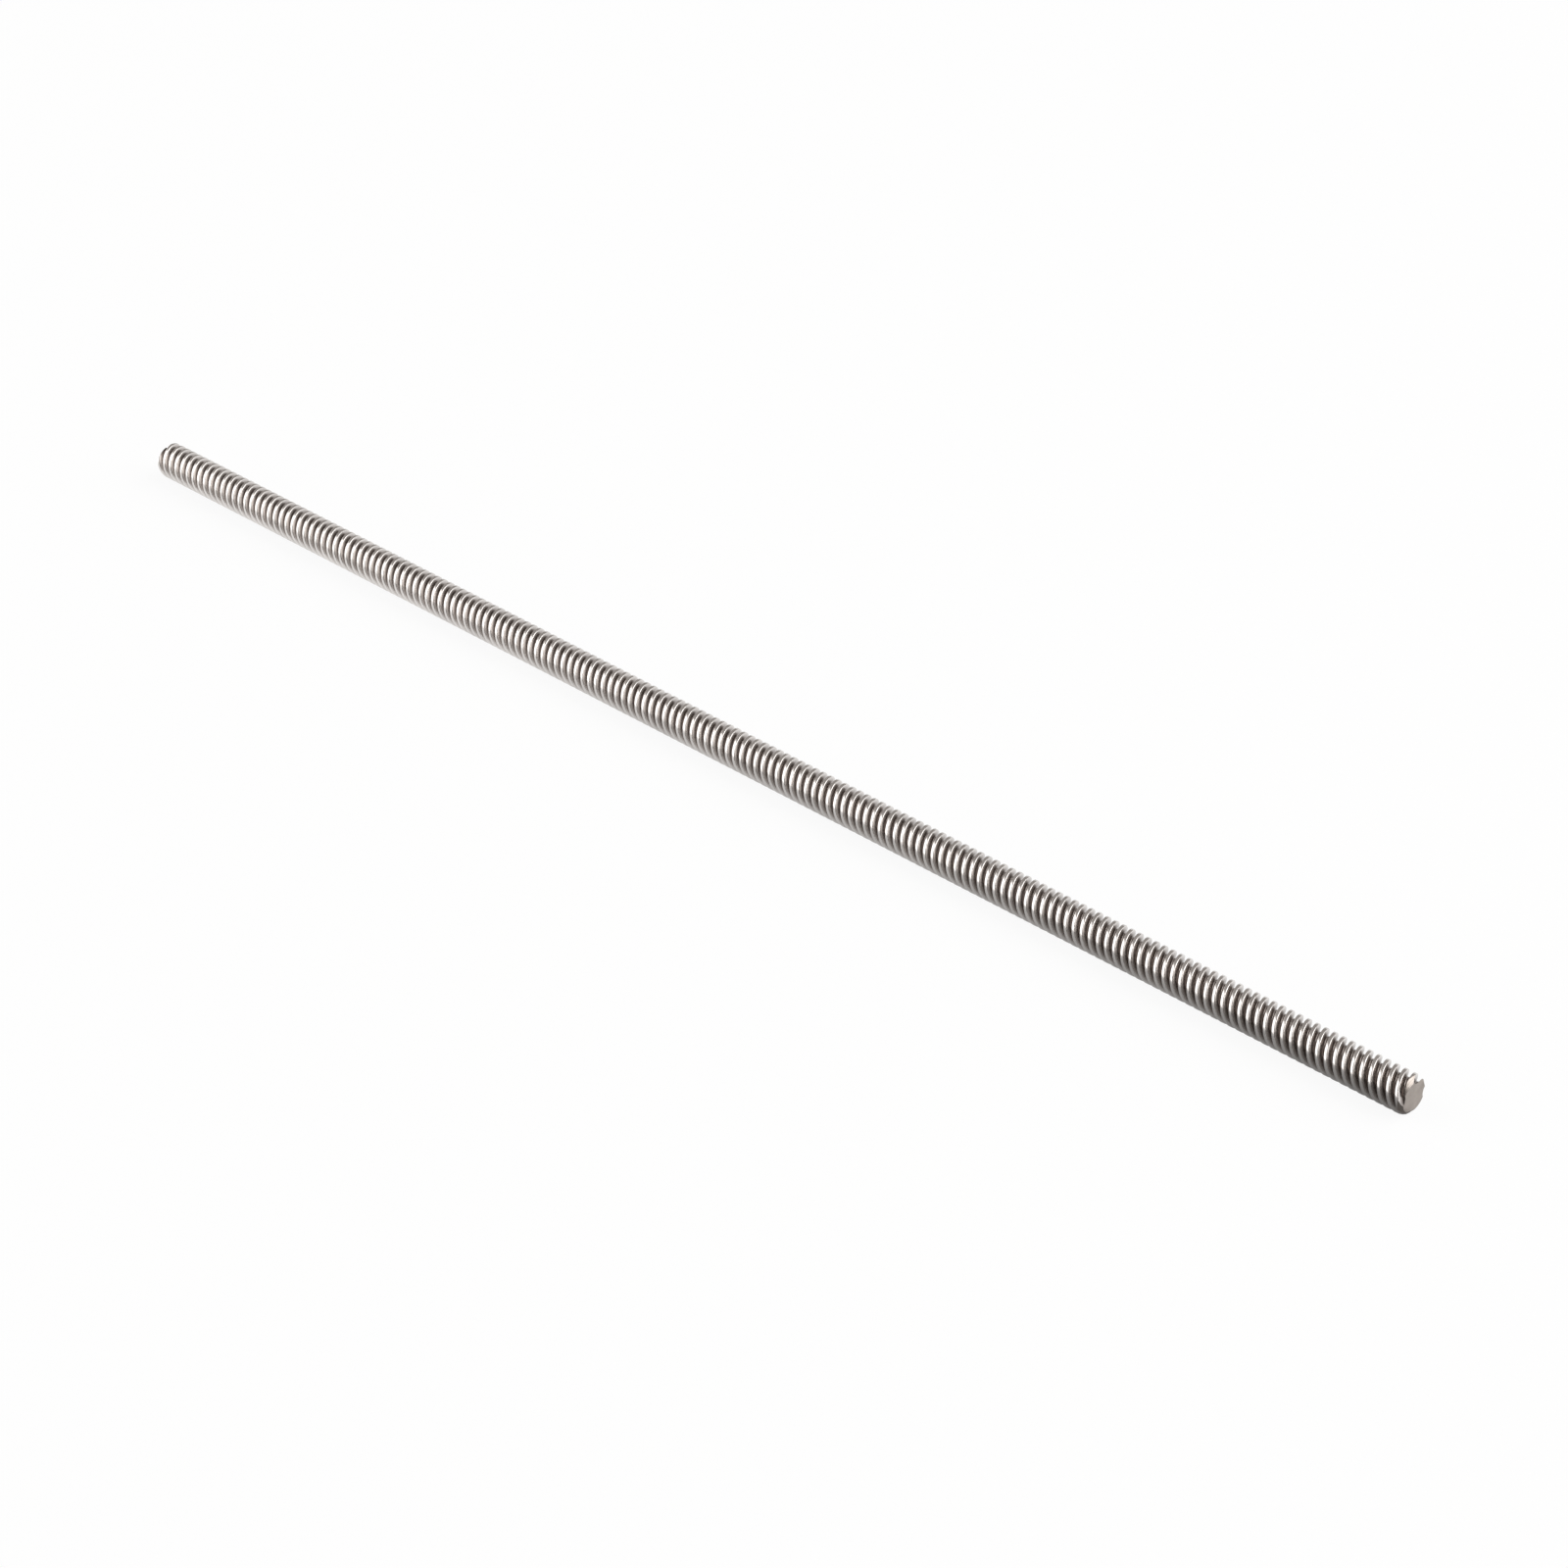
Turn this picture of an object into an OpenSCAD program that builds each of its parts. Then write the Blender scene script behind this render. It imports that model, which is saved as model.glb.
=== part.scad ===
// Trapezoidal lead screw: a plain steel rod with four right-hand threads cut side by side over its whole length.
// It lies along +X, with the origin at the middle of the drive end's face, and every size is in millimetres.

/* [Screw] */
// Length over both end faces
length = 350; // [150:10:500]
// Diameter over the crests of the thread
major_diameter = 8; // [6:0.5:12]
// Width of the 45 degree chamfer that lets a nut or a bearing slip on at each end
end_chamfer = 0.8; // [0.2:0.1:1]

/* [Thread] */
// Distance along the screw from one crest to the next
pitch = 2; // [1.5:0.25:3]
// Threads that run side by side
starts = 4; // [2:1:6]
// Angle between the two flanks of a groove
groove_angle = 30; // [20:1:40]
// Gap left under the nut's crests at the bottom of a groove
root_clearance = 0.25; // [0.1:0.05:0.5]
// Turn of the thread about the axis at the drive end
thread_turn = 37; // [0:1:90]

/* [Hidden] */

steel = [0.64, 0.62, 0.59];
round_sides = 96;

lead = pitch * starts;
crest_radius = major_diameter / 2;
root_radius = crest_radius - pitch / 2 - root_clearance;
face_radius = crest_radius - end_chamfer;

// The flanks are the only surfaces of the thread made of flat facets. Their rows are shared out over the
// starts, so that a screw with more threads needs no more facets.
facet_rows = floor(1200 / starts);
row_turn = 360 * length / lead / facet_rows;

// Half of a ridge's width along the axis, at a radius. At the pitch line ridge and groove are equally wide.
flank_slope = tan(groove_angle / 2);
function ridge_half_width(radius) = pitch / 4 + (crest_radius - pitch / 4 - radius) * flank_slope;

// The point where a ridge's flank meets a circle, in a section square to the axis
function flank_point(radius) =
    let (angle = 360 * ridge_half_width(radius) / lead)
    radius * [cos(angle), sin(angle)];

crest_edge = flank_point(crest_radius);
root_edge = flank_point(root_radius);
flank = crest_edge - root_edge;

// Each flank is carried on past the crest, so that the turned blank trims it to a true cylinder there,
// and a little below the root, so that it stands in the core.
trim_allowance = 1.02;
root_overlap = 0.15;
outer_reach = (crest_radius * trim_allowance / cos(row_turn / 2) - crest_edge.x) / flank.x;
outer_edge = crest_edge + outer_reach * flank;
inner_edge = root_edge - root_overlap * flank;

function turned(point, angle) = [
    point.x * cos(angle) - point.y * sin(angle),
    point.x * sin(angle) + point.y * cos(angle)
];
function mirrored(point) = [point.x, -point.y];

// The section through all the ridges, square to the axis
module ridge_section() {
    polygon([
        for (start = [0 : starts - 1])
            for (point = [mirrored(inner_edge), mirrored(outer_edge), outer_edge, inner_edge])
                turned(point, thread_turn + start * 360 / starts)
    ]);
}

// The ridges wind up the screw by one lead a turn. The negative twist makes the thread right-handed.
module ridges() {
    linear_extrude(height = length, twist = -360 * length / lead, slices = facet_rows, segments = 1)
        ridge_section();
}

// The bar as it comes off the lathe, with its chamfers, before the thread is cut
module turned_blank() {
    rotate_extrude($fn = round_sides)
        polygon([
            [0, 0],
            [face_radius, 0],
            [crest_radius, end_chamfer],
            [crest_radius, length - end_chamfer],
            [face_radius, length],
            [0, length]
        ]);
}

module core() {
    cylinder(r = root_radius, h = length, $fn = round_sides);
}

module lead_screw() {
    color(steel)
        rotate([90, 0, 90]) {
            intersection() {
                turned_blank();
                ridges();
            }
            core();
        }
}

lead_screw();
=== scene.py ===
from math import ceil, cos, pi, radians, sin, tan

import bmesh
import bpy
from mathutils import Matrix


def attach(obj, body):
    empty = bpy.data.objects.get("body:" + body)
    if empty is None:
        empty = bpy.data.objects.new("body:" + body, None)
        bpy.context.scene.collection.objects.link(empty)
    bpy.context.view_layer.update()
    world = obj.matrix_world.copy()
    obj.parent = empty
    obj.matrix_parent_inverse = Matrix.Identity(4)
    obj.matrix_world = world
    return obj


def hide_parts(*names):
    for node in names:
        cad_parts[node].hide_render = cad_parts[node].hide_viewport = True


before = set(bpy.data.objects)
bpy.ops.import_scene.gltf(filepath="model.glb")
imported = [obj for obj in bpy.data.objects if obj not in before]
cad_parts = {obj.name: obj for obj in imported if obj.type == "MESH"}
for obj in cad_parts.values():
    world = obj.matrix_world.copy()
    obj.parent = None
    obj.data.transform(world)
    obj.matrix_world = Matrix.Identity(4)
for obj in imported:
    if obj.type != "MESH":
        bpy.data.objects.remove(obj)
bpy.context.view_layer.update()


# Camera: a long lens looks down along the screw from the front right, so that the near end is about a
# quarter larger than the far one.
look_down = radians(32.4)
look_round = radians(43.83)
camera_data = bpy.data.cameras.new("camera")
camera_data.lens = 98.46
camera_data.sensor_width = 36
camera = bpy.data.objects.new("camera", camera_data)
camera.location = (0.69735, -0.52496, 0.45938)
camera.rotation_euler = (pi / 2 - look_down, 0, look_round)
bpy.context.scene.collection.objects.link(camera)
bpy.context.scene.camera = camera


# Lead screw: one bar of bright steel. Four right-hand trapezoidal threads are rolled into it side by side,
# which leaves small radii on the crests and in the roots, and its two ends are then faced and chamfered.
mm = 0.001
length = 350 * mm
crest_radius = 4 * mm
root_radius = 2.75 * mm
pitch = 2 * mm
starts = 4
lead = pitch * starts
end_chamfer = 0.8 * mm
groove_angle = radians(30)
flank_slope = tan(groove_angle / 2)
thread_turn = radians(37)
steps_a_turn = 32
# How far each rounding reaches from its corner
crest_rounding = 0.1 * mm
root_rounding = 0.28 * mm
# Points closer together than this are merged.
merge_distance = 0.01 * mm
# The thread is wound this far past both ends before it is cut off there.
spare_thread = 1 * mm


def only(geometry, kind):
    return [part for part in geometry if isinstance(part, kind)]


def everything(mesh):
    return mesh.verts[:] + mesh.edges[:] + mesh.faces[:]


def draw_line(mesh, points):
    line = [mesh.verts.new((x, 0, radius)) for x, radius in points]
    for near, far in zip(line, line[1:]):
        mesh.edges.new((near, far))
    return line


def new_piece(name, mesh):
    data = bpy.data.meshes.new(name)
    mesh.to_mesh(data)
    mesh.free()
    piece = bpy.data.objects.new(name, data)
    bpy.context.scene.collection.objects.link(piece)
    return piece


# One ridge is drawn from the middle of one root to the middle of the next, its corners are rounded, and
# the four ridges of a lead stand side by side above the axis, before the bar's drive end.
crest_half = pitch / 4 * (1 - flank_slope)
root_half = pitch / 2 - crest_half - (crest_radius - root_radius) * flank_slope
first_crest = lead * (pi / 2 - thread_turn) / (2 * pi)
ridge_at = first_crest - ceil(first_crest / pitch) * pitch - lead - pitch
thread = bmesh.new()
corners = draw_line(thread, [
    (ridge_at - pitch / 2, root_radius),
    (ridge_at - pitch / 2 + root_half, root_radius),
    (ridge_at - crest_half, crest_radius),
    (ridge_at + crest_half, crest_radius),
    (ridge_at + pitch / 2 - root_half, root_radius),
    (ridge_at + pitch / 2, root_radius),
])
bmesh.ops.bevel(
    thread, geom=[corners[1], corners[4]], offset=root_rounding, affect="VERTICES", segments=3, profile=0.5,
    material=-1)
bmesh.ops.bevel(
    thread, geom=[corners[2], corners[3]], offset=crest_rounding, affect="VERTICES", segments=3, profile=0.5,
    material=-1)
ridge = thread.verts[:] + thread.edges[:]
for ridge_number in range(1, starts):
    next_ridge = bmesh.ops.duplicate(thread, geom=ridge)["geom"]
    next_points = only(next_ridge, bmesh.types.BMVert)
    bmesh.ops.translate(thread, verts=next_points, vec=(ridge_number * pitch, 0, 0))
bmesh.ops.remove_doubles(thread, verts=thread.verts, dist=merge_distance)

# One full turn winds the four ridges on by a lead. The wound length is then doubled until it is longer
# than the bar, cut off a little outside both ends, and closed there.
bmesh.ops.spin(
    thread, geom=thread.verts[:] + thread.edges[:], cent=(0, 0, 0), axis=(1, 0, 0),
    dvec=(lead / steps_a_turn, 0, 0), angle=2 * pi, steps=steps_a_turn, use_merge=False, use_duplicate=False)
turns = 1
needed_turns = length / lead + 2
while turns < needed_turns:
    more = bmesh.ops.duplicate(thread, geom=everything(thread))["geom"]
    bmesh.ops.translate(thread, verts=only(more, bmesh.types.BMVert), vec=(turns * lead, 0, 0))
    turns *= 2
bmesh.ops.remove_doubles(thread, verts=thread.verts, dist=merge_distance)
for cut_at, outwards in ((-spare_thread, -1), (length + spare_thread, 1)):
    bmesh.ops.bisect_plane(
        thread, geom=everything(thread), dist=0.0001 * mm, plane_co=(cut_at, 0, 0),
        plane_no=(outwards, 0, 0), clear_outer=True)
bmesh.ops.holes_fill(thread, edges=[edge for edge in thread.edges if edge.is_boundary], sides=0)
bmesh.ops.recalc_face_normals(thread, faces=thread.faces)
screw = new_piece("lead_screw_thread", thread)

# The turned blank faces both ends and chamfers them. It is wider than the crests between the chamfers,
# so that it touches the thread nowhere else.
round_steps = 120
blank_radius = crest_radius + 0.3 * mm
face_radius = crest_radius - end_chamfer
cone_run = blank_radius - face_radius
blank = bmesh.new()
draw_line(blank, [
    (0, 0),
    (0, face_radius),
    (cone_run, blank_radius),
    (length - cone_run, blank_radius),
    (length, face_radius),
    (length, 0),
])
bmesh.ops.spin(
    blank, geom=blank.verts[:] + blank.edges[:], cent=(0, 0, 0), axis=(1, 0, 0), angle=2 * pi,
    steps=round_steps, use_merge=True, use_duplicate=False)
bmesh.ops.remove_doubles(blank, verts=blank.verts, dist=merge_distance)
bmesh.ops.recalc_face_normals(blank, faces=blank.faces)
turned_blank = new_piece("turned_blank", blank)


def new_finish(name):
    material = bpy.data.materials.new(name)
    material.use_nodes = True
    nodes = material.node_tree.nodes
    return material, nodes, material.node_tree.links, nodes["Principled BSDF"]


# Rolled steel: the grain runs along the ridges, so the pattern is unwound by the lead before it is drawn.
rolled, nodes, links, shader = new_finish("rolled_steel")
shader.inputs["Metallic"].default_value = 1.0
coordinates = nodes.new("ShaderNodeTexCoord")
place = nodes.new("ShaderNodeSeparateXYZ")
links.new(coordinates.outputs["Object"], place.inputs["Vector"])
wound = nodes.new("ShaderNodeMath")
wound.operation = "MULTIPLY"
wound.inputs[1].default_value = -2 * pi / lead
links.new(place.outputs["X"], wound.inputs[0])
unwound = nodes.new("ShaderNodeVectorRotate")
unwound.rotation_type = "X_AXIS"
links.new(coordinates.outputs["Object"], unwound.inputs["Vector"])
links.new(wound.outputs["Value"], unwound.inputs["Angle"])
# Grains to the metre: they are long along the ridges and fine across them.
grain_place = nodes.new("ShaderNodeMapping")
grain_place.inputs["Scale"].default_value = (600, 9000, 9000)
links.new(unwound.outputs["Vector"], grain_place.inputs["Vector"])
grain = nodes.new("ShaderNodeTexNoise")
grain.inputs["Scale"].default_value = 1.0
grain.inputs["Detail"].default_value = 3.0
grain.inputs["Roughness"].default_value = 0.6
links.new(grain_place.outputs["Vector"], grain.inputs["Vector"])
# Slow changes of tone along the bar
cloud = nodes.new("ShaderNodeTexNoise")
cloud.inputs["Scale"].default_value = 180.0
cloud.inputs["Detail"].default_value = 2.0
links.new(coordinates.outputs["Object"], cloud.inputs["Vector"])
# Distance from the axis: the roots and lower flanks are painted darker than the crests, a painted shade in
# the grooves.
across = nodes.new("ShaderNodeCombineXYZ")
links.new(place.outputs["Y"], across.inputs["Y"])
links.new(place.outputs["Z"], across.inputs["Z"])
radius = nodes.new("ShaderNodeVectorMath")
radius.operation = "LENGTH"
links.new(across.outputs["Vector"], radius.inputs[0])
groove_shade_mask = nodes.new("ShaderNodeMapRange")
groove_shade_mask.inputs["From Min"].default_value = root_radius + 0.35 * mm
groove_shade_mask.inputs["From Max"].default_value = crest_radius - 0.1 * mm
links.new(radius.outputs["Value"], groove_shade_mask.inputs["Value"])
tone = nodes.new("ShaderNodeValToRGB")
# The ramp's dark end is the painted groove shade, and its light end is the crests' steel.
tone.color_ramp.elements[0].color = (0.3, 0.262, 0.242, 1)
tone.color_ramp.elements[1].color = (0.76, 0.725, 0.7, 1)
links.new(groove_shade_mask.outputs["Result"], tone.inputs["Fac"])
cloud_tone = nodes.new("ShaderNodeMapRange")
cloud_tone.inputs["From Min"].default_value = 0.3
cloud_tone.inputs["From Max"].default_value = 0.7
cloud_tone.inputs["To Min"].default_value = 0.88
cloud_tone.inputs["To Max"].default_value = 1.0
links.new(cloud.outputs["Fac"], cloud_tone.inputs["Value"])
colour = nodes.new("ShaderNodeMix")
colour.data_type = "RGBA"
colour.blend_type = "MULTIPLY"
colour.inputs["Factor"].default_value = 1.0
links.new(tone.outputs["Color"], colour.inputs["A"])
links.new(cloud_tone.outputs["Result"], colour.inputs["B"])
links.new(colour.outputs["Result"], shader.inputs["Base Color"])
polish = nodes.new("ShaderNodeMapRange")
polish.inputs["From Min"].default_value = 0.3
polish.inputs["From Max"].default_value = 0.7
polish.inputs["To Min"].default_value = 0.2
polish.inputs["To Max"].default_value = 0.3
links.new(grain.outputs["Fac"], polish.inputs["Value"])
links.new(polish.outputs["Result"], shader.inputs["Roughness"])
scratch = nodes.new("ShaderNodeBump")
scratch.inputs["Strength"].default_value = 0.15
scratch.inputs["Distance"].default_value = 0.02 * mm
links.new(grain.outputs["Fac"], scratch.inputs["Height"])
links.new(scratch.outputs["Normal"], shader.inputs["Normal"])
screw.data.materials.append(rolled)

# Turned steel: a parting tool leaves faint rings on the two end faces and on their chamfers.
turned, nodes, links, shader = new_finish("turned_steel")
shader.inputs["Metallic"].default_value = 1.0
coordinates = nodes.new("ShaderNodeTexCoord")
rings = nodes.new("ShaderNodeTexWave")
rings.wave_type = "RINGS"
rings.rings_direction = "X"
rings.inputs["Scale"].default_value = 900.0
rings.inputs["Distortion"].default_value = 1.5
rings.inputs["Detail"].default_value = 3.0
links.new(coordinates.outputs["Object"], rings.inputs["Vector"])
bloom = nodes.new("ShaderNodeTexNoise")
bloom.inputs["Scale"].default_value = 500.0
bloom.inputs["Detail"].default_value = 4.0
links.new(coordinates.outputs["Object"], bloom.inputs["Vector"])
# The end faces' steel is painted about half as bright as the rolled steel, a painted shade on the end faces.
# The blotches within that tone are random.
tone = nodes.new("ShaderNodeValToRGB")
tone.color_ramp.elements[0].position = 0.3
tone.color_ramp.elements[0].color = (0.345, 0.305, 0.275, 1)
tone.color_ramp.elements[1].position = 0.7
tone.color_ramp.elements[1].color = (0.425, 0.38, 0.345, 1)
links.new(bloom.outputs["Fac"], tone.inputs["Fac"])
links.new(tone.outputs["Color"], shader.inputs["Base Color"])
polish = nodes.new("ShaderNodeMapRange")
polish.inputs["To Min"].default_value = 0.4
polish.inputs["To Max"].default_value = 0.5
links.new(rings.outputs["Fac"], polish.inputs["Value"])
links.new(polish.outputs["Result"], shader.inputs["Roughness"])
tool_marks = nodes.new("ShaderNodeBump")
tool_marks.inputs["Strength"].default_value = 0.2
tool_marks.inputs["Distance"].default_value = 0.01 * mm
links.new(rings.outputs["Fac"], tool_marks.inputs["Height"])
links.new(tool_marks.outputs["Normal"], shader.inputs["Normal"])
turned_blank.data.materials.append(turned)

# The blank cuts the thread to length, and its finish comes with the faces that it cuts.
facing = screw.modifiers.new("facing", "BOOLEAN")
facing.operation = "INTERSECT"
facing.solver = "EXACT"
facing.material_mode = "TRANSFER"
facing.object = turned_blank
cut = bpy.data.meshes.new_from_object(screw.evaluated_get(bpy.context.evaluated_depsgraph_get()))
screw.modifiers.clear()
screw.data = cut
bpy.data.objects.remove(turned_blank)
screw.data.name = screw.name
crease_angle = radians(30)
screw.data.shade_smooth()
screw.data.set_sharp_from_angle(angle=crease_angle)
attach(screw, "root")
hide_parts("lead_screw")


# Floor: a plain white matt table, 12 m square, that the screw lies on. The camera and the metal see it
# glow white. A little of its own paint shows through the glow and keeps the screw's shadow.
floor_half_width = 6
glow_share = 0.92
floor_mesh = bmesh.new()
bmesh.ops.create_grid(floor_mesh, x_segments=1, y_segments=1, size=floor_half_width)
bmesh.ops.translate(floor_mesh, verts=floor_mesh.verts, vec=(0, 0, -crest_radius))
floor = new_piece("floor", floor_mesh)
white, nodes, links, matt = new_finish("white_table")
matt.inputs["Base Color"].default_value = (0.85, 0.85, 0.85, 1)
matt.inputs["Roughness"].default_value = 0.9
glow = nodes.new("ShaderNodeEmission")
glow.inputs["Color"].default_value = (1, 1, 1, 1)
rays = nodes.new("ShaderNodeLightPath")
camera_or_gloss = nodes.new("ShaderNodeMath")
camera_or_gloss.operation = "MAXIMUM"
links.new(rays.outputs["Is Camera Ray"], camera_or_gloss.inputs[0])
links.new(rays.outputs["Is Glossy Ray"], camera_or_gloss.inputs[1])
any_seen = nodes.new("ShaderNodeMath")
any_seen.operation = "MAXIMUM"
links.new(camera_or_gloss.outputs["Value"], any_seen.inputs[0])
links.new(rays.outputs["Is Transmission Ray"], any_seen.inputs[1])
share = nodes.new("ShaderNodeMath")
share.operation = "MULTIPLY"
share.inputs[1].default_value = glow_share
links.new(any_seen.outputs["Value"], share.inputs[0])
table = nodes.new("ShaderNodeMixShader")
links.new(share.outputs["Value"], table.inputs["Fac"])
links.new(matt.outputs["BSDF"], table.inputs[1])
links.new(glow.outputs["Emission"], table.inputs[2])
links.new(table.outputs["Shader"], nodes["Material Output"].inputs["Surface"])
floor.data.materials.append(white)


# Soft boxes: one stands in front on the left and one behind on the right, three metres from the screw's
# middle. Each leans along the screw and is turned about it, forwards or back, from straight overhead.
length_middle = length / 2


def soft_box(name, lean, turn, width, height, brightness):
    distance = 3.0
    data = bpy.data.lights.new(name, "AREA")
    data.shape = "RECTANGLE"
    data.size = width
    data.size_y = height
    data.energy = brightness * pi * width * height
    lamp = bpy.data.objects.new(name, data)
    lamp.rotation_mode = "ZYX"
    lamp.rotation_euler = (turn, lean, 0)
    lamp.location = (
        length_middle + distance * sin(lean),
        -distance * cos(lean) * sin(turn),
        distance * cos(lean) * cos(turn),
    )
    lamp.visible_camera = False
    bpy.context.scene.collection.objects.link(lamp)


soft_box("front_left_box", radians(-40), radians(52), 2.4, 4.0, 1.85)
soft_box("back_right_box", radians(38), radians(-36), 3.7, 3.0, 2.4)


# Grey card: it lies in front of the near half, where only the metal reflects it. The near end's lower side
# is dark in the photo, and the card fades in along the screw to give that.
# The card paints a dark reflection on the near end's lower side, a painted shade that the camera and the
# floor's light never see.
card_half_width = 0.5
card_thickness = 0.05 * mm
card_middle = (0.45, -card_half_width, -crest_radius + card_thickness)
card_mesh = bmesh.new()
bmesh.ops.create_grid(card_mesh, x_segments=1, y_segments=1, size=card_half_width)
bmesh.ops.translate(card_mesh, verts=card_mesh.verts, vec=card_middle)
card = new_piece("reflection_shade_card", card_mesh)
card_finish, nodes, links, grey = new_finish("reflection_shade_card")
grey.inputs["Base Color"].default_value = (0.02, 0.02, 0.02, 1)
grey.inputs["Roughness"].default_value = 0.9
coordinates = nodes.new("ShaderNodeTexCoord")
place = nodes.new("ShaderNodeSeparateXYZ")
links.new(coordinates.outputs["Object"], place.inputs["Vector"])
# How dark the painted reflection is, fading in along the screw.
density = nodes.new("ShaderNodeMapRange")
density.inputs["From Min"].default_value = 0.08
density.inputs["From Max"].default_value = 0.36
density.inputs["To Min"].default_value = 0.0
density.inputs["To Max"].default_value = 0.8
links.new(place.outputs["X"], density.inputs["Value"])
clear = nodes.new("ShaderNodeBsdfTransparent")
faded = nodes.new("ShaderNodeMixShader")
links.new(density.outputs["Result"], faded.inputs["Fac"])
links.new(clear.outputs["BSDF"], faded.inputs[1])
links.new(grey.outputs["BSDF"], faded.inputs[2])
links.new(faded.outputs["Shader"], nodes["Material Output"].inputs["Surface"])
card.data.materials.append(card_finish)
card.visible_camera = False
card.visible_diffuse = False
card.visible_shadow = False


# Room: pale behind on the right, dim on the left and overhead, and dark in front on the right, around the
# camera. One tone turns smoothly into the next.
world = bpy.data.worlds.new("studio")
bpy.context.scene.world = world
world.use_nodes = True
nodes = world.node_tree.nodes
links = world.node_tree.links
room = nodes["Background"]
room.inputs["Strength"].default_value = 1.0
coordinates = nodes.new("ShaderNodeTexCoord")
way = nodes.new("ShaderNodeSeparateXYZ")
links.new(coordinates.outputs["Generated"], way.inputs["Vector"])
to_back = nodes.new("ShaderNodeMapRange")
to_back.interpolation_type = "SMOOTHSTEP"
to_back.inputs["From Min"].default_value = -0.25
to_back.inputs["From Max"].default_value = 0.35
links.new(way.outputs["Y"], to_back.inputs["Value"])
right_side = nodes.new("ShaderNodeMix")
right_side.data_type = "RGBA"
right_side.inputs["A"].default_value = (0.07, 0.055, 0.045, 1)
right_side.inputs["B"].default_value = (0.95, 0.95, 0.95, 1)
links.new(to_back.outputs["Result"], right_side.inputs["Factor"])
to_right = nodes.new("ShaderNodeMapRange")
to_right.interpolation_type = "SMOOTHSTEP"
to_right.inputs["From Min"].default_value = -0.25
to_right.inputs["From Max"].default_value = 0.3
links.new(way.outputs["X"], to_right.inputs["Value"])
all_round = nodes.new("ShaderNodeMix")
all_round.data_type = "RGBA"
all_round.inputs["A"].default_value = (0.36, 0.34, 0.325, 1)
links.new(to_right.outputs["Result"], all_round.inputs["Factor"])
links.new(right_side.outputs["Result"], all_round.inputs["B"])
links.new(all_round.outputs["Result"], room.inputs["Color"])

bpy.context.scene.view_settings.view_transform = "Standard"
